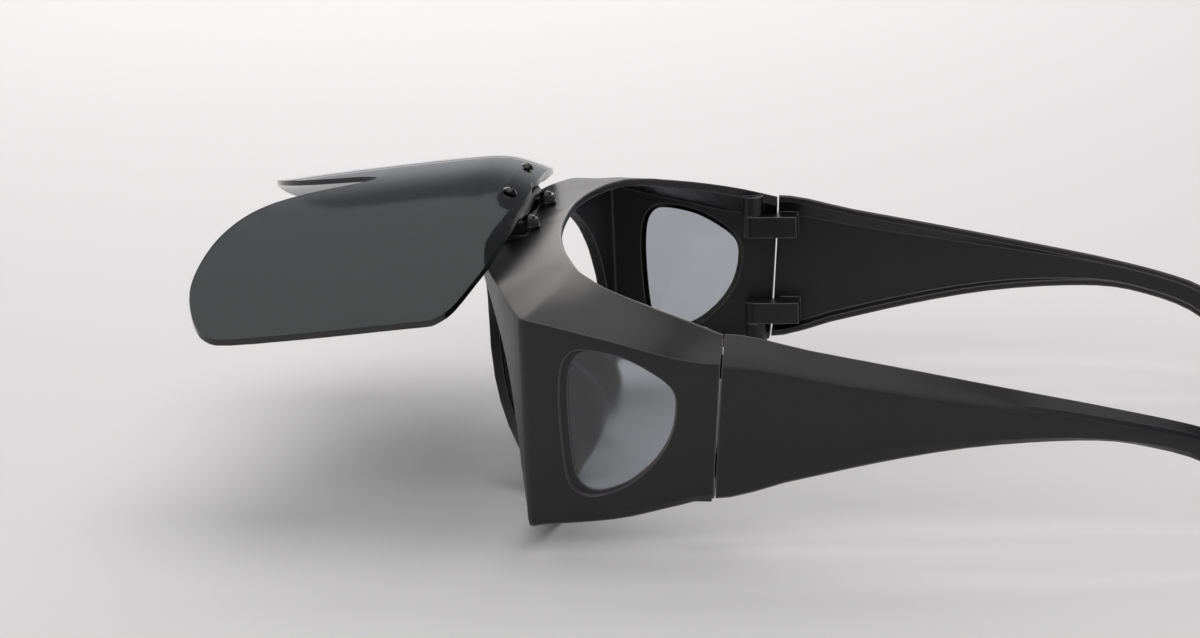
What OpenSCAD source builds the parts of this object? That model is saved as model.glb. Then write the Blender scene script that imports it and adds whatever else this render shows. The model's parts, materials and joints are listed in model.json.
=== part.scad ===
// Fit-over sunglasses with a flip-up lens. Millimetres, +Z up, -Y the front,
// +X the wearer's left. The lens is drawn raised, the temples open.
// The glasses stand on the lower rims: Z = 0 is their flat underside.

/* [Front frame] */
// Half of the frame's width, outside of the side walls
half_w = 70.8; // [67:0.1:75]
// Radius of the brow line as seen from above
wrap_r = 143.5; // [130:0.5:170]
// Height of the brow line above the rest plane, at the nose
brow_z = 58.4; // [56.5:0.1:59]
// Depth of the side wall, from the temple joint to the front corner
side_d = 43; // [41:0.5:45]
// Radius of the upright front corners
corner_r = 3.4; // [3.2:0.1:4.5]
// Thickness of the frame's walls
wall = 2.4; // [2.1:0.1:2.8]
// Thickness of the brow roof
roof_t = 1.9; // [1.6:0.1:2.4]
// Width of the flange round the frame's lower edge
flange_w = 3.8; // [3:0.1:4.5]
// Thickness of that flange
flange_t = 1.7; // [1.4:0.1:2.2]
// How far the lower rims lean back from the brow line
lean = 13; // [9:0.5:14]

/* [Side windows] */
// Thickness of the side lenses
side_lens_t = 1; // [0.8:0.1:1.1]
// Depth of the frame's recess round them, from outside
side_recess = 0.9; // [0.6:0.1:1]
// Width of the step that holds them, all round
side_step = 1.2; // [1:0.1:1.5]

/* [Flip lens] */
// Thickness of the flip lens
lens_t = 1.3; // [1:0.1:1.8]
// Radius of its wrap at the height of the eyes
lens_r = 138; // [135:0.5:155]
// Its angle above the closed position as drawn
open_deg = 84.5; // [70:0.5:95]
// Half of the distance between its two screws
lens_screw_x = 13; // [11:0.5:14]

/* [Flip hinge] */
// Radius of the hinge barrel
barrel_r = 2.2; // [2:0.1:2.5]
// Radius of the steel axle
axle_r = 0.9; // [0.7:0.05:1.1]
// Length of the moving barrel between the fixed knuckles
barrel_l = 15.8; // [12:0.2:18]
// Half of the distance between the base screws
base_screw_x = 12.5; // [11:0.5:14]
// Radius of the screw shanks
screw_r = 0.8; // [0.6:0.05:0.9]
// Radius of the domed screw heads
head_r = 1.7; // [1.4:0.1:1.9]

/* [Temples] */
// Length of the temples behind the joint
temple_l = 120; // [112:1:120]
// Width of the channel section at the joint
temple_w = 3.6; // [3.2:0.1:4.2]
// Wall thickness of the temples
temple_t = 1.8; // [1.5:0.1:2.2]
// Gap between the frame and a temple
joint_gap = 0.4; // [0.3:0.1:1]
// Radius of the hinge pins
pin_r = 1; // [0.8:0.05:1.2]
// Radius of the rounded hinge lugs
lug_r = 2.7; // [2.5:0.1:2.9]
// Height of the two hinge arms
arm_h = 5.6; // [4.8:0.1:5.8]

/* [Clearances] */
// Radial play of a turning pin
run_play = 0.05; // [0.02:0.01:0.09]
// Play between a fixed piece and its seat
seat_play = 0.05; // [0.02:0.01:0.1]
// Play between two faces that slide past each other
face_play = 0.15; // [0.1:0.05:0.3]

/* [Hidden] */
$fn = 64;
// The joint between frame and temple is at Y = joint_y in the part's frame
joint_y = 3.17;
// Rest plane below the joint's reference height
drop = 40;

// Value at q of a smooth curve through a table of [place, value] rows
function cell(tab, q, i = 0) =
    i >= len(tab) - 2 || q < tab[i + 1][0] ? i : cell(tab, q, i + 1);
function tangent(tab, i) =
    i == 0 || i == len(tab) - 1 ? 0 :
    (tab[i + 1][1] - tab[i - 1][1]) / (tab[i + 1][0] - tab[i - 1][0]);
function curve(tab, q) =
    let (i = cell(tab, q), a = tab[i], b = tab[i + 1], h = b[0] - a[0],
         t = min(1, max(0, (q - a[0]) / h)),
         m0 = h * tangent(tab, i), m1 = h * tangent(tab, i + 1))
    (2 * pow(t, 3) - 3 * t * t + 1) * a[1] + (pow(t, 3) - 2 * t * t + t) * m0
    + (3 * t * t - 2 * pow(t, 3)) * b[1] + (pow(t, 3) - t * t) * m1;
// Closed smooth outline through a list of points, n points to a stretch
function spline(p, n) = [for (i = [0 : len(p) - 1], k = [0 : n - 1])
    let (m = len(p), t = k / n, a = p[(i + m - 1) % m], b = p[i],
         c = p[(i + 1) % m], d = p[(i + 2) % m])
    0.5 * (2 * b + (c - a) * t + (2 * a - 5 * b + 4 * c - d) * t * t
    + (3 * b - a - 3 * c + d) * t * t * t)];
function flipped(p) = [for (i = [len(p) - 1 : -1 : 0]) [-p[i][0], p[i][1]]];

// Skin over a row of rings with the same number of points
module skin(rings) {
    m = len(rings[0]);
    n = len(rings);
    polyhedron(points = [for (r = rings) each r],
        faces = concat(
            [[for (j = [0 : m - 1]) j]],
            [for (i = [0 : n - 2], j = [0 : m - 1])
                [i * m + j, (i + 1) * m + (j + 1) % m, i * m + (j + 1) % m]],
            [for (i = [0 : n - 2], j = [0 : m - 1])
                [i * m + j, (i + 1) * m + j, (i + 1) * m + (j + 1) % m]],
            [[for (j = [m - 1 : -1 : 0]) (n - 1) * m + j]]));
}

// The frame's shape is worked out in the joint's own axes
nose_y = -side_d - 20.8;
arc_y = nose_y + wrap_r;
corner_x = half_w - corner_r;
corner_y = arc_y - sqrt(pow(wrap_r - corner_r, 2) - corner_x * corner_x);
arc_end = asin(corner_x / (wrap_r - corner_r));
brow = brow_z - drop;
back_y = -joint_gap / 2;
joint_z = 4.3;
joint_slant = 0.08;

// The joint line leans forward towards its foot
function slanted(v, part) = [v[0], v[1] + joint_slant * part
    * (v[2] - joint_z), v[2]];

// Place and inward direction of the brow line at station q, 0 at the nose,
// 50 to 56 round the corner and 100 at the temple joint
function place(q) =
    q <= 50 ? let (a = arc_end * q / 50)
        [wrap_r * sin(a), arc_y - wrap_r * cos(a), -sin(a), cos(a)] :
    q <= 56 ? let (b = arc_end + (90 - arc_end) * (q - 50) / 6)
        [corner_x + corner_r * sin(b), corner_y - corner_r * cos(b),
         -sin(b), cos(b)] :
    [half_w, corner_y + (back_y - corner_y) * (q - 56) / 44, -1, 0];

crease_tab = [[0, brow], [29, brow + 0.8], [40, brow], [45, brow - 1.7],
    [50, 15.3], [56, 14.8], [72, 10.7], [100, 4.3]];
inner_x_tab = [[0, 0], [12, 10.5], [22, 20], [30, 28], [38, 35], [44, 40],
    [50, half_w - 26.3], [56, half_w - 23.3], [62, half_w - 19.8],
    [70, half_w - 16.2], [80, half_w - 11], [90, half_w - 6.9],
    [100, half_w - 4]];
inner_y_tab = [[0, -44.1], [12, -44], [22, -43.1], [30, -41.6],
    [38, -39.8], [44, -38], [50, -36.2], [56, -34.4], [62, -31.4],
    [70, -27.6], [80, -19], [90, -9.8], [100, back_y]];
inner_z_tab = [[0, 23.5], [12, 23], [30, 22.1], [44, 21.2], [56, 20],
    [70, 18.2], [80, 16.2], [90, 13.8], [100, 10.8]];
bottom_tab = [[0, -drop], [34, -drop], [40, -38.8], [45, -36.6],
    [50, -34.8], [56, -34.1], [74, -32.6], [90, -29.5], [100, -27.7]];
lean_tab = [[0, lean], [30, lean], [38, 0.77 * lean],
    [44, 0.4 * lean], [50, 0.5], [56, 0.4], [78, 0.7], [100, 1.3]];
flange_tab = [[0, flange_w], [42, flange_w], [49, wall + 0.3],
    [57, wall + 0.3], [66, flange_w], [100, flange_w]];
bend_tab = [[0, 4.2], [20, 3.9], [44, 3], [60, 7], [100, 9]];
roof_tab = [[0, roof_t], [50, roof_t], [70, roof_t + 0.3],
    [100, roof_t + 0.8]];

function wall_ring(q) = [for (v = raw_ring(q))
    slanted(v, max(0, (q - 78) / 22))];
function raw_ring(q) =
    let (p = place(q), zc = curve(crease_tab, q),
         zb = max(-drop, curve(bottom_tab, q)), nb = curve(lean_tab, q),
         e = curve(bend_tab, q), tv = curve(roof_tab, q),
         reach = nb + curve(flange_tab, q),
         top = [curve(inner_x_tab, q), curve(inner_y_tab, q),
                curve(inner_z_tab, q)],
         brim = [p[0], p[1], zc], run = top - brim,
         wide = norm([run[0], run[1]]), rise = run[2] / wide,
         levels = [0.04, 0.16, 0.3, 0.44, 0.56, 0.66, 0.75, 0.83, 0.9, 0.96])
    concat(
        [top + [0, 0, -0.3], top + run * (-0.4 / wide),
         brim + run * 0.5 + [0, 0, 0.25], brim + run * (1.3 / wide),
         out(p, 0.28, zc - 0.2 + 0.28 * rise)],
        [for (t = levels)
            out(p, nb * pow(t, e), zc + (zb - zc) * t)],
        [out(p, nb + 0.3, zb + 0.4), out(p, nb + 1, zb),
         out(p, reach, zb), out(p, reach, zb + flange_t)],
        [out(p, nb * pow(0.96, e) + wall, zb + flange_t)],
        [for (k = [len(levels) - 2 : -1 : 0]) let (t = levels[k])
            out(p, nb * pow(t, e) + wall, zc + (zb - zc) * t)],
        [out(p, wall, zc + wall * rise - tv), top - [0, 0, tv]]);
function out(p, n, z) = [p[0] + p[2] * n, p[1] + p[3] * n, z];
function mirrored(ring) = [for (v = ring) [-v[0], v[1], v[2]]];

stations = concat([for (i = [0 : 19]) i * 50 / 20], [50, 51.5, 53, 54.5, 56],
    [for (i = [1 : 10]) 56 + i * 4.4]);

// Outline of an eye opening, seen from the front
eye = spline([[13, 7], [19, 13], [30, 15.2], [42, 14.8], [50, 11.6],
    [56.5, 6.5], [60.8, 0], [63.6, -8], [64.8, -16], [63.6, -24],
    [59, -30.5], [50, -34.6], [38, -36.2], [28, -35], [22.5, -29.5],
    [18.6, -20], [15.4, -9], [12.4, 0]], 3);
// Half outline of the nose gap, from its top down
nose = [[0, 3.6], [3, 3], [5.4, 0.6], [7, -4], [8.6, -10], [10.6, -17],
    [12.8, -24], [15, -30.5], [18, -36], [22.5, -42]];
// Outline of a side window, [along the temple, height]
side_eye = spline([[-31.9, 7.9], [-25.5, 7], [-20.1, 5.1], [-13.9, 1.3],
    [-10.9, -1.9], [-10.4, -6], [-11.9, -12.5], [-15.7, -18.5],
    [-21.1, -23.3], [-26, -25.7], [-30.6, -26.6], [-34, -25.3],
    [-35.9, -22], [-36.8, -14], [-37.1, -4], [-36.5, 3], [-34.8, 6.6]], 3);

// The hole behind it is smaller, most of all towards the front corner
side_hole = [for (v = side_eye)
    [-23.75 + (v[0] + 23.75) * 0.917 + 0.8, -9.4 + (v[1] + 9.4) * 0.945 + 0.3]];
// Outline moved outwards by d, for one that runs clockwise
function grown(p, d) = [for (i = [0 : len(p) - 1])
    let (m = len(p), a = p[(i + m - 1) % m], b = p[(i + 1) % m],
         t = (b - a) / norm(b - a)) p[i] + d * [-t[1], t[0]]];
side_seat = grown(side_hole, side_step);

// A flat outline of [x, z] pushed through the frame from y0 to y1
module along_y(y0, y1, pts) {
    translate([0, y1, 0]) rotate([90, 0, 0])
        linear_extrude(height = y1 - y0) polygon(pts);
}
// A flat outline of [y, z] pushed sideways from x0 to x1
module along_x(x0, x1) {
    translate([x0, 0, 0]) rotate([90, 0, 90])
        linear_extrude(height = x1 - x0) children();
}
module both() { children(); mirror([1, 0, 0]) children(); }
// Puts a piece drawn in the joint's axes into the part's frame
module put() { translate([0, joint_y, drop]) children(); }

// Flip hinge
flip_y = nose_y + 7.8;
flip_z = 23.8;
pad_z = flip_z - barrel_r - face_play;
base_y = flip_y + 3.9;
base_t = 1.2;
seat_h = 2.9;
boss_z = 18.2;
// The lens slopes at its screws; the bracket's plate lies along it
lens_at = 6.5;
lens_tilt = 27;
plate_in = 1.5;
plate_t = 1.2;
bow_play = 0.25;
nut_h = 1.3;

// Temple joint
pivot_x = half_w - 5.8;
pivot_y = -6;
arm_up = 6;
arm_low = -17.2 - arm_h;
knuckle_top = 11.2;
knuckle_low = -28.2;
pin_cap = 1.6;
fold_l = temple_l;

module lug(z0, z1, deep) {
    translate([pivot_x, pivot_y, z0]) {
        cylinder(r = lug_r, h = z1 - z0);
        translate([0, -lug_r, 0]) cube([deep, 2 * lug_r, z1 - z0]);
    }
}

module nose_wing() {
    intersection() {
        along_y(-62, -34, concat(nose,
            [for (i = [len(nose) - 1 : -1 : 0])
                nose[i] + [i < 2 ? 0.4 * i : 2, i < 2 ? 2 : 0.6]]));
        translate([0, -65, 0.2 - drop]) cube([40, 40, 60]);
        along_x(0, 30) polygon(spline([[-62, 8], [-52, 6], [-47, -2],
            [-43.5, -11.6], [-38.2, -15.9], [-35.6, -20.5], [-35, -25.5],
            [-37, -31], [-39.8, -35.2], [-43.4, -40], [-50, -41],
            [-56, -30], [-61, -12]], 3));
    }
}

module front_frame() {
    color([0.1, 0.1, 0.11]) put() difference() {
        union() {
            difference() {
                skin(concat(
                    [for (i = [len(stations) - 1 : -1 : 1])
                        mirrored(wall_ring(stations[i]))],
                    [for (q = stations) wall_ring(q)]));
                both() along_y(-90, -33, eye);
                along_y(-90, -30, concat(nose, [[0, -42]],
                    flipped([for (i = [1 : len(nose) - 1]) nose[i]])));
            }
            both() nose_wing();
            // pad and bosses under the flip hinge
            translate([-18, flip_y - 2.3, boss_z])
                cube([36, 6.4, pad_z - boss_z]);
            both() translate([base_screw_x, base_y, boss_z])
                cylinder(r = 2.4, h = pad_z - boss_z);
            both() {
                intersection() {
                    lug(arm_up + face_play, knuckle_top,
                        half_w - pivot_x - 1);
                    along_y(-10, -3, [[60, 5], [half_w - 1.4, 5],
                        [half_w - 1.4, 6.6], [half_w - 5, knuckle_top],
                        [60, knuckle_top]]);
                }
                lug(knuckle_low, arm_low - face_play,
                    half_w - pivot_x - 1.6);
            }
        }
        translate([0, 0, pad_z]) linear_extrude(height = 6)
            base_shape(0.1);
        both() {
            along_x(half_w - side_recess, half_w + 2) polygon(side_eye);
            along_x(half_w - 8, half_w + 2) polygon(side_hole);
            along_x(half_w - 8, half_w - wall + side_lens_t)
                polygon(side_seat);
            translate([base_screw_x, base_y, boss_z - 1])
                cylinder(r = screw_r + seat_play, h = 8);
            translate([pivot_x, pivot_y, arm_up - 1])
                cylinder(r = pin_r, h = knuckle_top - pin_cap - arm_up + 1);
            translate([pivot_x, pivot_y, knuckle_low + pin_cap])
                cylinder(r = pin_r, h = 8);
        }
    }
}

module side_window() {
    put() along_x(half_w - wall, half_w - wall + side_lens_t)
        polygon(grown(side_hole, side_step - seat_play));
}
module side_window_left() { color([0.6, 0.6, 0.66, 0.5]) side_window(); }
module side_window_right() {
    color([0.6, 0.6, 0.66, 0.5]) mirror([1, 0, 0]) side_window();
}

module tube_x(x0, x1, r_out, r_in) {
    translate([x0, 0, 0]) rotate([0, 90, 0]) difference() {
        cylinder(r = r_out, h = x1 - x0);
        translate([0, 0, -1]) cylinder(r = r_in, h = x1 - x0 + 2);
    }
}

// Foot of the hinge base from above: a strip with two round tabs
module base_shape(more) {
    both() {
        translate([barrel_l / 2 + face_play - more, flip_y - more])
            square([17 + more - barrel_l / 2 + more,
                barrel_r + 1.2 + 2 * more]);
        translate([base_screw_x, base_y]) circle(r = 2.6 + more);
        translate([base_screw_x - 2.6 - more, flip_y])
            square([5.2 + 2 * more, base_y - flip_y]);
    }
    translate([-9, flip_y + barrel_r + 0.3 - more])
        square([18, 0.9 + 2 * more]);
}

module flip_base() {
    color([0.07, 0.07, 0.08]) put() difference() {
        union() {
            both() translate([0, flip_y, flip_z]) difference() {
                union() {
                    translate([barrel_l / 2 + face_play, 0, 0])
                        rotate([0, 90, 0])
                        cylinder(r = barrel_r, h = 17 - barrel_l / 2);
                    translate([barrel_l / 2 + face_play, 0, -barrel_r
                        - face_play]) cube([17 - barrel_l / 2, 3, seat_h - 0.15]);
                }
            }
            translate([0, 0, pad_z]) linear_extrude(height = base_t)
                base_shape(0);
            both() translate([base_screw_x, base_y, pad_z])
                cylinder(r1 = 2.6, r2 = 2.2, h = seat_h);
        }
        translate([-30, flip_y, flip_z]) rotate([0, 90, 0])
            cylinder(r = axle_r + seat_play, h = 60);
        both() translate([base_screw_x, base_y, pad_z - 1])
            cylinder(r = screw_r + seat_play, h = seat_h + 2);
    }
}

// Domed screw, its head's underside at Z = 0, with a cross recess
module screw(long) {
    difference() {
        union() {
            translate([0, 0, -long]) cylinder(r = screw_r, h = long + 0.2);
            rotate_extrude() intersection() {
                translate([0, -1.1]) circle(r = 2.05);
                square([head_r, 3]);
            }
        }
        translate([-0.9, -0.18, 0.5]) cube([1.8, 0.36, 2]);
        translate([-0.18, -0.9, 0.5]) cube([0.36, 1.8, 2]);
    }
}
module nut(across, high) {
    difference() {
        cylinder(r = across / 2 / cos(30), h = high, $fn = 6);
        translate([0, 0, -1]) cylinder(r = screw_r + seat_play / 2,
            h = high + 2);
    }
}

module base_screw() {
    put() translate([base_screw_x, base_y, pad_z + seat_h]) screw(8);
}
module base_nut() {
    put() translate([base_screw_x, base_y, boss_z - nut_h]) nut(3.2, nut_h);
}
module base_screw_left() { color([0.05, 0.05, 0.05]) base_screw(); }
module base_screw_right() {
    color([0.05, 0.05, 0.05]) mirror([1, 0, 0]) base_screw();
}
module base_nut_left() { color([0.4, 0.4, 0.42]) base_nut(); }
module base_nut_right() {
    color([0.4, 0.4, 0.42]) mirror([1, 0, 0]) base_nut();
}

module flip_axle() {
    color([0.6, 0.6, 0.62]) put() translate([-17.6, flip_y, flip_z])
        rotate([0, 90, 0]) cylinder(r = axle_r, h = 35.2);
}

module along_lens() {
    translate([0, -lens_at, 0]) rotate([-lens_tilt, 0, 0]) children();
}
module lens_screw_holes() {
    both() along_lens() translate([lens_screw_x, 4, 0])
        rotate([90, 0, 0]) cylinder(r = screw_r + seat_play, h = 8);
}

// Everything below turns with the lens. It is drawn closed, round the
// hinge line, and this swings it up
module swing() {
    put() translate([0, flip_y, flip_z]) rotate([-open_deg, 0, 0])
        children();
}

module lens_bracket() {
    color([0.07, 0.07, 0.08]) swing() difference() {
        union() {
            rotate([0, 90, 0]) translate([0, 0, -barrel_l / 2])
                cylinder(r = barrel_r, h = barrel_l);
            along_lens() {
                translate([-barrel_l / 2 + 1, plate_in, 1.1])
                    cube([barrel_l - 2, 3.5, 2]);
                translate([-lens_screw_x, plate_in + plate_t, 0])
                    rotate([90, 0, 0]) linear_extrude(height = plate_t) {
                        translate([0, -2.2])
                            square([2 * lens_screw_x, 4.6]);
                        circle(r = 2.6);
                        translate([2 * lens_screw_x, 0]) circle(r = 2.6);
                    }
                both() translate([lens_screw_x, plate_in + 0.2, 0])
                    rotate([90, 0, 0]) cylinder(r = 2.2,
                        h = plate_in + 0.2 - lens_t / 2 - bow_play);
            }
        }
        rotate([0, 90, 0]) translate([0, 0, -barrel_l])
            cylinder(r = axle_r + run_play, h = 2 * barrel_l);
        lens_screw_holes();
    }
}

// Distance of the lens in front of the hinge line, [height, distance]
lens_tab = [[-76, -9], [-66, -9.6], [-50, -10.2], [-35, -10.5],
    [-23, -10.6], [-14, -10.5], [-9, -10.2], [-5, -9.3], [-1, -7.6],
    [3, -5.6], [8, -2.8]];
lens_c = lens_r + lens_tab[4][1];
lens_half = [[0, 3.2], [4, 3.9], [8, 4], [15, 3.8], [27, 3.2], [34, 2.5],
    [42, 1.2], [50, -0.4], [60, -3.6], [66, -6.2], [69.4, -9.4],
    [70.4, -14], [70.6, -36], [69.6, -58], [67.4, -64.4], [63, -67.6],
    [57, -69.7], [50, -70.8], [41, -70.2], [30, -68], [20, -64.2],
    [13.4, -59.6], [9, -53.6], [6, -46.5], [3.6, -39], [0, -34.6]];
lens_line = concat(lens_half,
    [for (i = [len(lens_half) - 2 : -1 : 1])
        [-lens_half[i][0], lens_half[i][1]]]);

module lens_shell() {
    zs = [for (z = [-74 : 3 : 7]) z];
    translate([0, lens_c, 0]) rotate_extrude($fn = 240) polygon(concat(
        [for (z = zs) [lens_c - curve(lens_tab, z) + lens_t / 2, z]],
        [for (i = [len(zs) - 1 : -1 : 0])
            [lens_c - curve(lens_tab, zs[i]) - lens_t / 2, zs[i]]]));
}

module flip_lens() {
    color([0.16, 0.17, 0.17, 0.7]) swing() difference() {
        intersection() {
            lens_shell();
            along_y(-30, 30, spline(lens_line, 3));
        }
        lens_screw_holes();
    }
}

module lens_screw() {
    swing() along_lens()
        translate([lens_screw_x, -lens_t / 2 - bow_play, 0])
        rotate([90, 0, 0]) screw(5.1);
}
module lens_nut() {
    swing() along_lens()
        translate([lens_screw_x, plate_in + plate_t + 1.2, 0])
        rotate([90, 0, 0]) nut(3, 1.2);
}
module lens_screw_left() { color([0.05, 0.05, 0.05]) lens_screw(); }
module lens_screw_right() {
    color([0.05, 0.05, 0.05]) mirror([1, 0, 0]) lens_screw();
}
module lens_nut_left() { color([0.4, 0.4, 0.42]) lens_nut(); }
module lens_nut_right() {
    color([0.4, 0.4, 0.42]) mirror([1, 0, 0]) lens_nut();
}

// Section of a temple: rows of [distance behind the joint, value]
top_tab = [[0, 10.8], [20, 6.9], [45, 2.1], [66, -2.1], [87, -6.4],
    [106, -11.2], [114, -14.8], [121, -20.5]];
edge_tab = [[0, 4.2], [27, 0.1], [52, -3.7], [66, -5.4], [80, -7.6],
    [94, -10.4], [106, -13.4], [114, -16.8], [121, -21.6]];
low_edge_tab = [[0, -21.3], [27, -16.3], [48, -13.6], [66, -12.4],
    [80, -12.2], [94, -13.7], [106, -16.8], [114, -21], [121, -25.4]];
low_tab = [[0, -27.5], [16, -23.1], [37.5, -18.2], [55.4, -15.2],
    [73, -13.8], [87, -13.9], [97.5, -16], [106, -18.9], [114, -23.6],
    [121, -27.2]];
out_tab = [[0, half_w - 0.2], [50, half_w - 0.3], [87, half_w - 1.6],
    [106, half_w - 4], [121, half_w - 7.6]];
thick_tab = [[0, temple_w], [60, temple_w - 0.4], [87, temple_w - 0.6],
    [121, temple_w - 0.9]];
hollow_tab = [[0, temple_w - temple_t], [60, temple_w - temple_t - 0.6],
    [84, 0.3], [121, 0.2]];

function temple_ring(y) =
    let (s = y * 121 / fold_l, x = curve(out_tab, s),
         w = curve(thick_tab, s), h = curve(hollow_tab, s),
         zt = curve(top_tab, s), ze = curve(edge_tab, s),
         zl = curve(low_edge_tab, s), zb = curve(low_tab, s),
         f = min(1.6, 0.2 * (zt - zb)), d = y + joint_gap / 2)
    [[x - w, d, zt - 0.3], [x - w + 0.4, d, zt],
     [x - w * 0.5, d, (zt + ze) / 2 + 0.3],
     [x - 0.5, d, ze + 0.7], [x - 0.08, d, ze - 0.4],
     [x, d, ze - 1.6 * f / 1.6], [x, d, (ze + zl) / 2], [x - 0.1, d, zl + 0.5],
     [x - 0.35, d, zl - 0.5], [x - 1.1, d, zb + 0.4], [x - 1.6, d, zb],
     [x - w + 0.3, d, zb], [x - w, d, zb + 0.3],
     [x - w, d, zb + f],
     [x - w + h, d, zb + f + 0.5 * h],
     [x - w + h, d, (ze + zl) / 2],
     [x - w + h, d, zt - f - 2.2 * h * (zt - ze) / 6.6],
     [x - w, d, zt - f]];

module temple() {
    put() difference() {
        union() {
            skin([for (y = [0, 3, 8, 14, 20, 27, 34, 41, 48, 55, 62, 69,
                75, 80, 84, 88, 92, 96, 100, 104, 107.5, 111, 114, 116.5,
                118.5, 120, 120.8, 121]) temple_end(y * fold_l / 121)]);
            for (z = [arm_low, arm_up - arm_h]) {
                translate([pivot_x, pivot_y, z])
                    cylinder(r = lug_r, h = arm_h);
                translate([pivot_x - lug_r, pivot_y, z])
                    cube([2 * lug_r, 11.5, arm_h]);
                translate([pivot_x - lug_r, joint_gap / 2, z])
                    cube([half_w - 1.5 - pivot_x + lug_r, 5.2, arm_h]);
            }
        }
        for (z = [arm_low - 1, arm_up - arm_h + 0.8])
            translate([pivot_x, pivot_y, z])
                cylinder(r = pin_r + run_play, h = arm_h);
    }
}
// The last few rings shrink to round the tip off
function temple_end(y) =
    let (r = temple_ring(y), back = fold_l - y,
         k = back > 4 ? 1 : sqrt(max(0.02, 1 - pow(1 - back / 4, 2))),
         c = (r[1] + r[10]) / 2)
    [for (v = r) slanted([c[0] + (v[0] - c[0]) * (0.3 + 0.7 * k), v[1],
        c[2] + (v[2] - c[2]) * k], max(0, 1 - y / 20))];
module temple_left() { color([0.1, 0.1, 0.11]) temple(); }
module temple_right() {
    color([0.1, 0.1, 0.11]) mirror([1, 0, 0]) temple();
}

// Hinge pins, set fast in the frame's knuckles and running in the arms
module hinge_pin(z0, z1) {
    put() translate([pivot_x, pivot_y, z0])
        cylinder(r = pin_r, h = z1 - z0);
}
module hinge_pin_upper() {
    hinge_pin(arm_up - arm_h + 1, knuckle_top - pin_cap);
}
module hinge_pin_lower() {
    hinge_pin(knuckle_low + pin_cap, arm_low + arm_h - 1.2);
}
module hinge_pin_upper_left() { color([0.5, 0.5, 0.5]) hinge_pin_upper(); }
module hinge_pin_lower_left() { color([0.5, 0.5, 0.5]) hinge_pin_lower(); }
module hinge_pin_upper_right() {
    color([0.5, 0.5, 0.5]) mirror([1, 0, 0]) hinge_pin_upper();
}
module hinge_pin_lower_right() {
    color([0.5, 0.5, 0.5]) mirror([1, 0, 0]) hinge_pin_lower();
}

front_frame();
side_window_left();
side_window_right();
flip_base();
base_screw_left();
base_screw_right();
base_nut_left();
base_nut_right();
flip_axle();
lens_bracket();
flip_lens();
lens_screw_left();
lens_screw_right();
lens_nut_left();
lens_nut_right();
temple_left();
temple_right();
hinge_pin_upper_left();
hinge_pin_lower_left();
hinge_pin_upper_right();
hinge_pin_lower_right();
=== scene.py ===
# Fit-over sunglasses with a flip-up smoke lens, dressed for a studio render.
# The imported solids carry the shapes; this script gives them their surfaces,
# soft edges, light and camera.
import json
import math

import bpy
from mathutils import Matrix, Vector


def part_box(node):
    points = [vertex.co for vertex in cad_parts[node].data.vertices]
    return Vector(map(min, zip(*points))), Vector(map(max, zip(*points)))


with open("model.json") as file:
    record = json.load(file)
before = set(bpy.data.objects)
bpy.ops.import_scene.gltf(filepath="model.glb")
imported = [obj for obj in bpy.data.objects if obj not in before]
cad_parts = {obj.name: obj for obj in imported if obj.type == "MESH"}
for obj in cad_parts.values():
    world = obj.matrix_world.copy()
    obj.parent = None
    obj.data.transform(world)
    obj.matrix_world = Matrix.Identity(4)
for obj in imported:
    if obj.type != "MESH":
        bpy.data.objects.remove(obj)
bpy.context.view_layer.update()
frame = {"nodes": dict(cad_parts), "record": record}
nodes = frame["nodes"]
print("stage: solids loaded,", len(nodes), "pieces")


def linear(hexColour, alpha=1.0):
    # sRGB hex to the linear values that the shaders work in
    parts = [int(hexColour[i:i + 2], 16) / 255 for i in (1, 3, 5)]
    return [c / 12.92 if c <= 0.04045 else ((c + 0.055) / 1.055) ** 2.4
            for c in parts] + [alpha]


def addNode(tree, kind, settings=None, links=None):
    # one node: settings go to its properties or sockets, links name what feeds it
    node = tree.nodes.new(kind)
    for key, value in (settings or {}).items():
        if isinstance(key, str) and hasattr(node, key):
            setattr(node, key, value)
        else:
            node.inputs[key].default_value = value
    for key, source in (links or {}).items():
        tree.links.new(source, node.inputs[key])
    return node


def newMaterial(name):
    material = bpy.data.materials.new(name)
    material.use_nodes = True
    material.node_tree.nodes.clear()
    return material, material.node_tree


def finishMaterial(tree, shader):
    addNode(tree, "ShaderNodeOutputMaterial", {}, {"Surface": shader.outputs[0]})


noiseSpan = {"From Min": 0.3, "From Max": 0.7}    # most of a noise texture lies here
edgeRays = 6                 # rays that look for an edge, enough to keep it free of specks


# Nylon 12, injection moulded in a spark-eroded tool: near black, a broad soft
# sheen and a fine grain that breaks the highlight
frameNylon = {
    "colour": "#111013",
    "paler": "#18171a",      # where fingers have polished the high places
    "palerSpan": (0.35, 0.75),    # where in the slow change it comes in
    "roughness": 0.36,
    "roughnessSpread": (-0.04, 0.05),
    "ior": 1.47,             # a little under clear nylon, for its dull skin
    "grainMm": 0.55,         # real grain is 0.12 mm, drawn coarser to show
    "grainDepthMm": 0.012,
    "grainStrength": 0.5,
    "flowMm": 26.0,          # slow change of sheen along the moulding
    "edgeMm": 0.45,          # edges left round by the tool
    "paintedEdgeLight": "#625e62",     # painted highlight: the edges drawn pale, for the thin line of light they catch
    "paintedEdgeLightRoughness": 0.26,
    "paintedEdgeLightSpan": (0.997, 0.93),  # cosines of the turn where the painted highlight starts and is full
}


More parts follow.
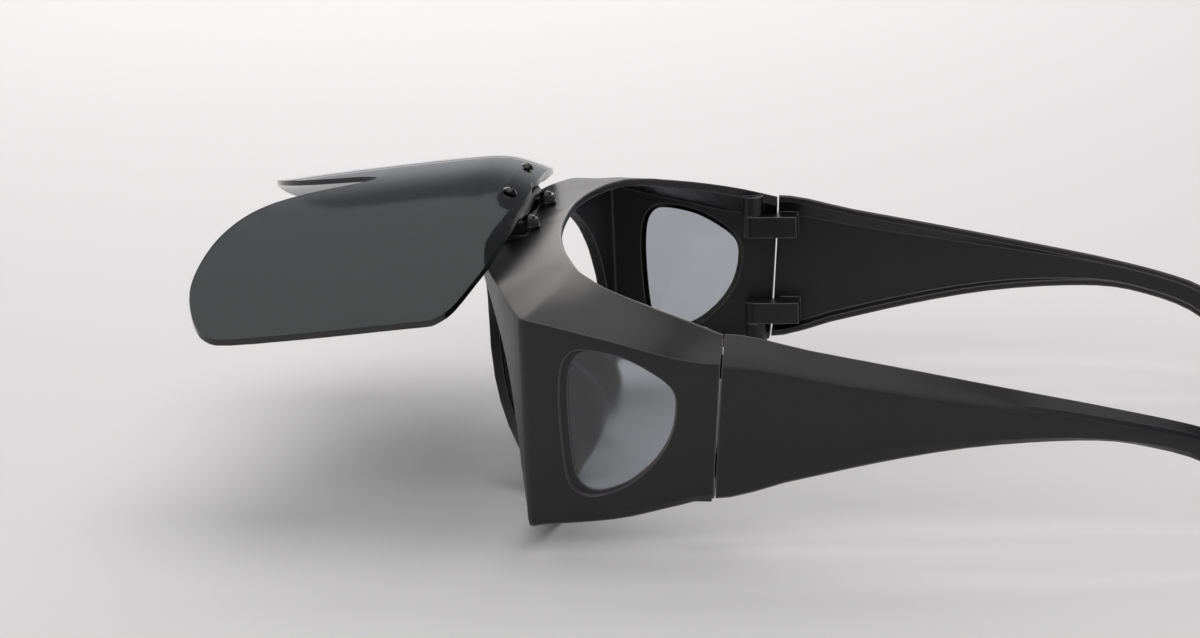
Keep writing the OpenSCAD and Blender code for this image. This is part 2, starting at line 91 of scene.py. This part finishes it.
def makeFrameNylon(v):
    material, tree = newMaterial("nylonMouldedSatin")
    where = addNode(tree, "ShaderNodeTexCoord")
    grain = addNode(tree, "ShaderNodeTexNoise",
                    {"Scale": 1000 / v["grainMm"], "Detail": 2.0, "Roughness": 0.6},
                    {"Vector": where.outputs["Object"]})
    flow = addNode(tree, "ShaderNodeTexNoise",
                   {"Scale": 1000 / v["flowMm"], "Detail": 3.0, "Roughness": 0.5},
                   {"Vector": where.outputs["Object"]})
    tint = addNode(tree, "ShaderNodeValToRGB", {}, {"Fac": flow.outputs["Fac"]})
    for stop, place, shade in zip(tint.color_ramp.elements, v["palerSpan"],
                                  (v["colour"], v["paler"])):
        stop.position = place
        stop.color = linear(shade)
    smoother, rougher = v["roughnessSpread"]
    sheen = addNode(tree, "ShaderNodeMapRange",
                    {**noiseSpan, "To Min": v["roughness"] + smoother,
                     "To Max": v["roughness"] + rougher},
                    {"Value": flow.outputs["Fac"]})
    edge = addNode(tree, "ShaderNodeBevel",
                   {"samples": edgeRays, "Radius": v["edgeMm"] / 1000})
    bump = addNode(tree, "ShaderNodeBump",
                   {"Strength": v["grainStrength"], "Distance": v["grainDepthMm"] / 1000},
                   {"Height": grain.outputs["Fac"], "Normal": edge.outputs["Normal"]})
    # an edge is where the rounded normal leaves the face's own; a painted highlight is laid
    # there
    face = addNode(tree, "ShaderNodeNewGeometry")
    agree = addNode(tree, "ShaderNodeVectorMath", {"operation": "DOT_PRODUCT"},
                    {0: edge.outputs["Normal"], 1: face.outputs["Normal"]})
    starts, full = v["paintedEdgeLightSpan"]
    edgeLightMask = addNode(tree, "ShaderNodeMapRange", {"From Min": starts, "From Max": full},
                  {"Value": agree.outputs["Value"]})
    # painted highlight: the edges are mixed towards a pale colour and a lower roughness
    colour = addNode(tree, "ShaderNodeMix", {"data_type": "RGBA", 7: linear(v["paintedEdgeLight"])},
                     {0: edgeLightMask.outputs["Result"], 6: tint.outputs["Color"]})
    gloss = addNode(tree, "ShaderNodeMix", {3: v["paintedEdgeLightRoughness"]},
                    {0: edgeLightMask.outputs["Result"], 2: sheen.outputs["Result"]})
    shader = addNode(tree, "ShaderNodeBsdfPrincipled",
                     {"IOR": v["ior"], "Metallic": 0.0},
                     {"Base Color": colour.outputs[2],
                      "Roughness": gloss.outputs[0],
                      "Normal": bump.outputs["Normal"]})
    finishMaterial(tree, shader)
    return material


# Polycarbonate, dyed smoke grey and injection moulded against polished steel:
# glass-smooth, a little darker where one looks through its edge
smokeLens = {
    "tint": "#535656",       # what a white page looks like through the sheet
    "ior": 1.58,
    "roughness": 0.02,
    "roughnessSpread": 0.03,
    "waveMm": 38.0,          # moulding flow, only seen in the reflections
    "waveDepthMm": 0.2,
    "waveStrength": 0.15,
}


def makeSmokeLens(v):
    material, tree = newMaterial("polycarbonateSmokePolished")
    where = addNode(tree, "ShaderNodeTexCoord")
    wave = addNode(tree, "ShaderNodeTexNoise",
                   {"Scale": 1000 / v["waveMm"], "Detail": 1.0},
                   {"Vector": where.outputs["Object"]})
    bump = addNode(tree, "ShaderNodeBump",
                   {"Strength": v["waveStrength"], "Distance": v["waveDepthMm"] / 1000},
                   {"Height": wave.outputs["Fac"]})
    haze = addNode(tree, "ShaderNodeMapRange",
                   {**noiseSpan, "To Min": v["roughness"],
                    "To Max": v["roughness"] + v["roughnessSpread"]},
                   {"Value": wave.outputs["Fac"]})
    shader = addNode(tree, "ShaderNodeBsdfPrincipled",
                     {"Base Color": linear(v["tint"]), "IOR": v["ior"],
                      "Transmission Weight": 1.0},
                     {"Roughness": haze.outputs["Result"],
                      "Normal": bump.outputs["Normal"]})
    finishMaterial(tree, shader)
    return material


# The same sheet seen end on: light has 70 mm of dye to cross, so it is black,
# and trimming leaves it less smooth than the faces
smokeEdge = {
    "colour": "#0c0d0d",
    "ior": 1.58,
    "roughness": (0.10, 0.2),
    "markMm": 3.0,           # trimming marks, drawn coarser to show
}


def makeLensEdge(v):
    material, tree = newMaterial("polycarbonateSmokeEdge")
    where = addNode(tree, "ShaderNodeTexCoord")
    mark = addNode(tree, "ShaderNodeTexNoise", {"Scale": 1000 / v["markMm"], "Detail": 1.0},
                   {"Vector": where.outputs["Object"]})
    smooth, rough = v["roughness"]
    sheen = addNode(tree, "ShaderNodeMapRange",
                    {**noiseSpan, "To Min": smooth, "To Max": rough},
                    {"Value": mark.outputs["Fac"]})
    shader = addNode(tree, "ShaderNodeBsdfPrincipled",
                     {"Base Color": linear(v["colour"]), "IOR": v["ior"]},
                     {"Roughness": sheen.outputs["Result"]})
    finishMaterial(tree, shader)
    return material


# Polycarbonate with a trace of grey dye, moulded and polished: the side windows,
# pale and clear, with reflections a little softer than the lens has
sideSheet = {
    "tint": "#b0b3ba",
    "ior": 1.58,
    "roughness": 0.06,
    "roughnessSpread": 0.06,
    "waveMm": 16.0,
}


def makeSideSheet(v):
    material, tree = newMaterial("polycarbonateClearGrey")
    where = addNode(tree, "ShaderNodeTexCoord")
    wave = addNode(tree, "ShaderNodeTexNoise",
                   {"Scale": 1000 / v["waveMm"], "Detail": 1.0},
                   {"Vector": where.outputs["Object"]})
    haze = addNode(tree, "ShaderNodeMapRange",
                   {**noiseSpan, "To Min": v["roughness"],
                    "To Max": v["roughness"] + v["roughnessSpread"]},
                   {"Value": wave.outputs["Fac"]})
    shader = addNode(tree, "ShaderNodeBsdfPrincipled",
                     {"Base Color": linear(v["tint"]), "IOR": v["ior"],
                      "Transmission Weight": 1.0},
                     {"Roughness": haze.outputs["Result"]})
    finishMaterial(tree, shader)
    return material


# Acetal, moulded glossy: an even black with soft lights, the hinge base and the
# lens carrier
hingeAcetal = {
    "name": "acetalMouldedGloss", "colour": "#0b0b0c", "roughness": 0.30,
    "ior": 1.48, "metallic": 0.0, "coat": 0.1, "grainMm": 0.8, "edgeMm": 0.25,
}
# Steel, turned, black-oxided and oiled: near black with small sharp glints, the
# four domed screws
blackSteel = {
    "name": "steelBlackOxide", "colour": "#131315", "roughness": 0.26,
    "ior": 1.5, "metallic": 0.7, "coat": 0.5, "grainMm": 0.35, "edgeMm": 0.12,
}
# Stainless steel, turned: a bright warm grey, axle, hinge pins and nuts
turnedSteel = {
    "name": "steelTurned", "colour": "#9c9b98", "roughness": 0.30,
    "ior": 1.5, "metallic": 1.0, "coat": 0.0, "grainMm": 0.3, "edgeMm": 0.12,
}
# What the three have in common: how far the grain changes the gloss, and its relief
hardGrain = {"roughnessSpread": (-0.05, 0.07), "depthMm": 0.008, "strength": 0.3}


def makeSolidFinish(v):
    material, tree = newMaterial(v["name"])
    where = addNode(tree, "ShaderNodeTexCoord")
    grain = addNode(tree, "ShaderNodeTexNoise",
                    {"Scale": 1000 / v["grainMm"], "Detail": 2.0},
                    {"Vector": where.outputs["Object"]})
    smoother, rougher = hardGrain["roughnessSpread"]
    sheen = addNode(tree, "ShaderNodeMapRange",
                    {**noiseSpan, "To Min": v["roughness"] + smoother,
                     "To Max": v["roughness"] + rougher},
                    {"Value": grain.outputs["Fac"]})
    edge = addNode(tree, "ShaderNodeBevel",
                   {"samples": edgeRays, "Radius": v["edgeMm"] / 1000})
    bump = addNode(tree, "ShaderNodeBump",
                   {"Strength": hardGrain["strength"],
                    "Distance": hardGrain["depthMm"] / 1000},
                   {"Height": grain.outputs["Fac"], "Normal": edge.outputs["Normal"]})
    shader = addNode(tree, "ShaderNodeBsdfPrincipled",
                     {"Base Color": linear(v["colour"]), "IOR": v["ior"],
                      "Metallic": v["metallic"], "Coat Weight": v["coat"]},
                     {"Roughness": sheen.outputs["Result"],
                      "Normal": bump.outputs["Normal"]})
    finishMaterial(tree, shader)
    return material


surfaces = {
    "frame_black": makeFrameNylon(frameNylon),
    "lens_smoke": makeSmokeLens(smokeLens),
    "side_clear": makeSideSheet(sideSheet),
    "hinge_black": makeSolidFinish(hingeAcetal),
    "screw_black": makeSolidFinish(blackSteel),
    "steel": makeSolidFinish(turnedSteel),
}
lensEdge = makeLensEdge(smokeEdge)

slotOf = {p["node"]: p["material_slot"] for p in frame["record"]["subparts"]}
for name, piece in nodes.items():
    piece.data.materials.clear()
    piece.data.materials.append(surfaces[slotOf[name]])
print("stage: materials made")

# Curved walls are shaded smooth up to these angles, and the corners stay crisp
smoothing = {
    "weldMm": 0.002,         # joins the corners that the solids' faces share
    "angles": {"front_frame": 16, "temple_left": 16, "temple_right": 16, "flip_lens": 40},
    "otherAngle": 30,
}


def smoothTree(degrees):
    # smooth shading up to an angle, as a node tree so that it follows the weld
    name = "smoothUnder%d" % degrees
    if name in bpy.data.node_groups:
        return bpy.data.node_groups[name]
    tree = bpy.data.node_groups.new(name, "GeometryNodeTree")
    for side in ("INPUT", "OUTPUT"):
        tree.interface.new_socket("Mesh", in_out=side, socket_type="NodeSocketGeometry")
    into = addNode(tree, "NodeGroupInput")
    angle = addNode(tree, "GeometryNodeInputMeshEdgeAngle")
    under = addNode(tree, "FunctionNodeCompare",
                    {"operation": "LESS_THAN", 1: math.radians(degrees)},
                    {0: angle.outputs["Unsigned Angle"]})
    edges = addNode(tree, "GeometryNodeSetShadeSmooth", {"domain": "EDGE"},
                    {"Geometry": into.outputs[0], "Shade Smooth": under.outputs[0]})
    addNode(tree, "NodeGroupOutput", {}, {0: edges.outputs[0]})
    return tree


def smoothWalls(piece, name):
    piece.data.shade_smooth()
    weld = piece.modifiers.new("joinCorners", "WELD")
    weld.merge_threshold = smoothing["weldMm"] / 1000
    degrees = smoothing["angles"].get(name, smoothing["otherAngle"])
    piece.modifiers.new("smoothShade", "NODES").node_group = smoothTree(degrees)


for name, piece in nodes.items():
    smoothWalls(piece, name)
print("stage: walls smoothed")

# The lens's rim is one face all round, told from the bowed faces by the fact
# that those look away from, or towards, the middle of the bow
flipLens = {"rimAngle": 55.0, "bowMm": 131.0}
lens = nodes["flip_lens"]
lens.data.materials.append(lensEdge)
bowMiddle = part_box("flip_lens")[1].z - flipLens["bowMm"] / 1000
for face in lens.data.polygons:
    away = Vector((face.center.x, 0, face.center.z - bowMiddle)).normalized()
    slope = abs(face.normal.dot(away))
    if slope < math.cos(math.radians(flipLens["rimAngle"])):
        face.material_index = 1
print("stage: lens rim marked")

# Matt paper, pressed: pale and without a highlight. It is floor and backdrop in
# one, and the far part has its own light
floorPaper = {
    "colour": "#e9e9ea",
    "specular": 0.2,
    "roughness": (0.75, 0.9),
    "fibresPerMetre": 900.0,
    "halfSize": 9.0,         # in metres, as the next three
    "farFrom": 0.8,
    "farTo": 2.4,
    "below": 0.0002,         # keeps it off the rims' lowest faces
    "farGlow": 0.72,
}


def makeFloor(v):
    material, tree = newMaterial("paperMattPale")
    where = addNode(tree, "ShaderNodeTexCoord")
    fibre = addNode(tree, "ShaderNodeTexNoise",
                    {"Scale": v["fibresPerMetre"], "Detail": 2.0},
                    {"Vector": where.outputs["Object"]})
    smooth, rough = v["roughness"]
    sheen = addNode(tree, "ShaderNodeMapRange", {"To Min": smooth, "To Max": rough},
                    {"Value": fibre.outputs["Fac"]})
    reach = addNode(tree, "ShaderNodeVectorMath", {"operation": "LENGTH"},
                    {0: where.outputs["Object"]})
    glow = addNode(tree, "ShaderNodeMapRange",
                   {"interpolation_type": "SMOOTHSTEP", "From Min": v["farFrom"],
                    "From Max": v["farTo"], "To Max": v["farGlow"]},
                   {"Value": reach.outputs["Value"]})
    shader = addNode(tree, "ShaderNodeBsdfPrincipled",
                     {"Base Color": linear(v["colour"]),
                      "Specular IOR Level": v["specular"],
                      "Emission Color": linear(v["colour"])},
                     {"Roughness": sheen.outputs["Result"],
                      "Emission Strength": glow.outputs["Result"]})
    finishMaterial(tree, shader)
    mesh = bpy.data.meshes.new("floorPaper")
    s = v["halfSize"]
    mesh.from_pydata([(-s, -s, 0), (s, -s, 0), (s, s, 0), (-s, s, 0)], [],
                     [(0, 1, 2, 3)])
    floor = bpy.data.objects.new("floorPaper", mesh)
    bpy.context.scene.collection.objects.link(floor)
    floor.data.materials.append(material)
    floor.location.z = -v["below"]
    return floor


makeFloor(floorPaper)
print("stage: floor laid")

# Pale walls stand round the floor and fade into the darker ceiling, between
# these heights of the line of sight, where 1 is straight up
room = {
    "colour": "#f3f4fa",
    "wallLevel": 0.55,
    "ceilingLevel": 0.17,
    "fade": (0.12, 0.42),
}


def makeRoom(v):
    world = bpy.data.worlds.new("paleRoom")
    bpy.context.scene.world = world
    world.use_nodes = True
    tree = world.node_tree
    tree.nodes.clear()
    look = addNode(tree, "ShaderNodeTexCoord")
    axes = addNode(tree, "ShaderNodeSeparateXYZ", {}, {0: look.outputs["Generated"]})
    starts, ends = v["fade"]
    level = addNode(tree, "ShaderNodeMapRange",
                    {"interpolation_type": "SMOOTHSTEP",
                     "From Min": starts, "From Max": ends,
                     "To Min": v["wallLevel"], "To Max": v["ceilingLevel"]},
                    {"Value": axes.outputs["Z"]})
    light = addNode(tree, "ShaderNodeBackground", {"Color": linear(v["colour"])},
                    {"Strength": level.outputs["Result"]})
    addNode(tree, "ShaderNodeOutputWorld", {}, {"Surface": light.outputs[0]})


makeRoom(room)

# Large soft boxes
softBoxes = {
    "colour": "#fffcf9",
    "boxes": [
        # name, place, aim, width, height, watts
        ("overhead", (0.0, 0.1, 1.0), (0.0, -0.02, 0.03), 0.9, 0.9, 4.0),
        ("roofBank", (-0.80, -0.24, 0.58), (0.0, -0.02, 0.05), 1.0, 0.85, 5.6),
        ("overCamera", (1.0, -0.15, 0.85), (0.0, 0.0, 0.04), 0.8, 0.6, 3.5),
        ("front", (0.75, -1.15, 0.50), (0.0, -0.02, 0.04), 1.0, 0.8, 1.6),
    ],
    "flagged": ["overhead", "roofBank"],     # kept off the lens, which they would wash out
}
for name, place, aim, width, height, watts in softBoxes["boxes"]:
    lamp = bpy.data.lights.new(name, "AREA")
    lamp.shape = "RECTANGLE"
    lamp.size, lamp.size_y, lamp.energy = width, height, watts
    lamp.color = linear(softBoxes["colour"])[:3]
    holder = bpy.data.objects.new(name, lamp)
    holder.location = place
    holder.visible_camera = False
    holder.rotation_euler = (Vector(aim) - Vector(place)).to_track_quat("-Z", "Y").to_euler()
    bpy.context.scene.collection.objects.link(holder)
    if name in softBoxes["flagged"]:
        flag = bpy.data.collections.new("flagOff" + name)
        flag.objects.link(lens)
        holder.light_linking.receiver_collection = flag
        flag.collection_objects[0].light_linking.link_state = "EXCLUDE"

# Camera, solved from features that the photograph shows on both sides
shot = {
    "place": (0.7969, 0.0872, 0.2553),
    "right": (-0.1405, 0.9893, -0.0387),
    "up": (-0.2657, 0.0, 0.9641),
    "lensMm": 102.0,
    "sensorMm": 36.0,
    "nearest": 0.01,         # metres
}
right = Vector(shot["right"]).normalized()
up = Vector(shot["up"])
up = (up - right * up.dot(right)).normalized()
back = right.cross(up)
camera = bpy.data.objects.new("camera", bpy.data.cameras.new("camera"))
camera.data.lens = shot["lensMm"]
camera.data.sensor_width = shot["sensorMm"]
camera.data.clip_start = shot["nearest"]
camera.matrix_world = Matrix([[right[i], up[i], back[i], shot["place"][i]]
                              for i in range(3)] + [[0, 0, 0, 1]])
bpy.context.scene.collection.objects.link(camera)
bpy.context.scene.camera = camera
bpy.context.scene.view_settings.view_transform = "Standard"
print("stage: studio and camera set")
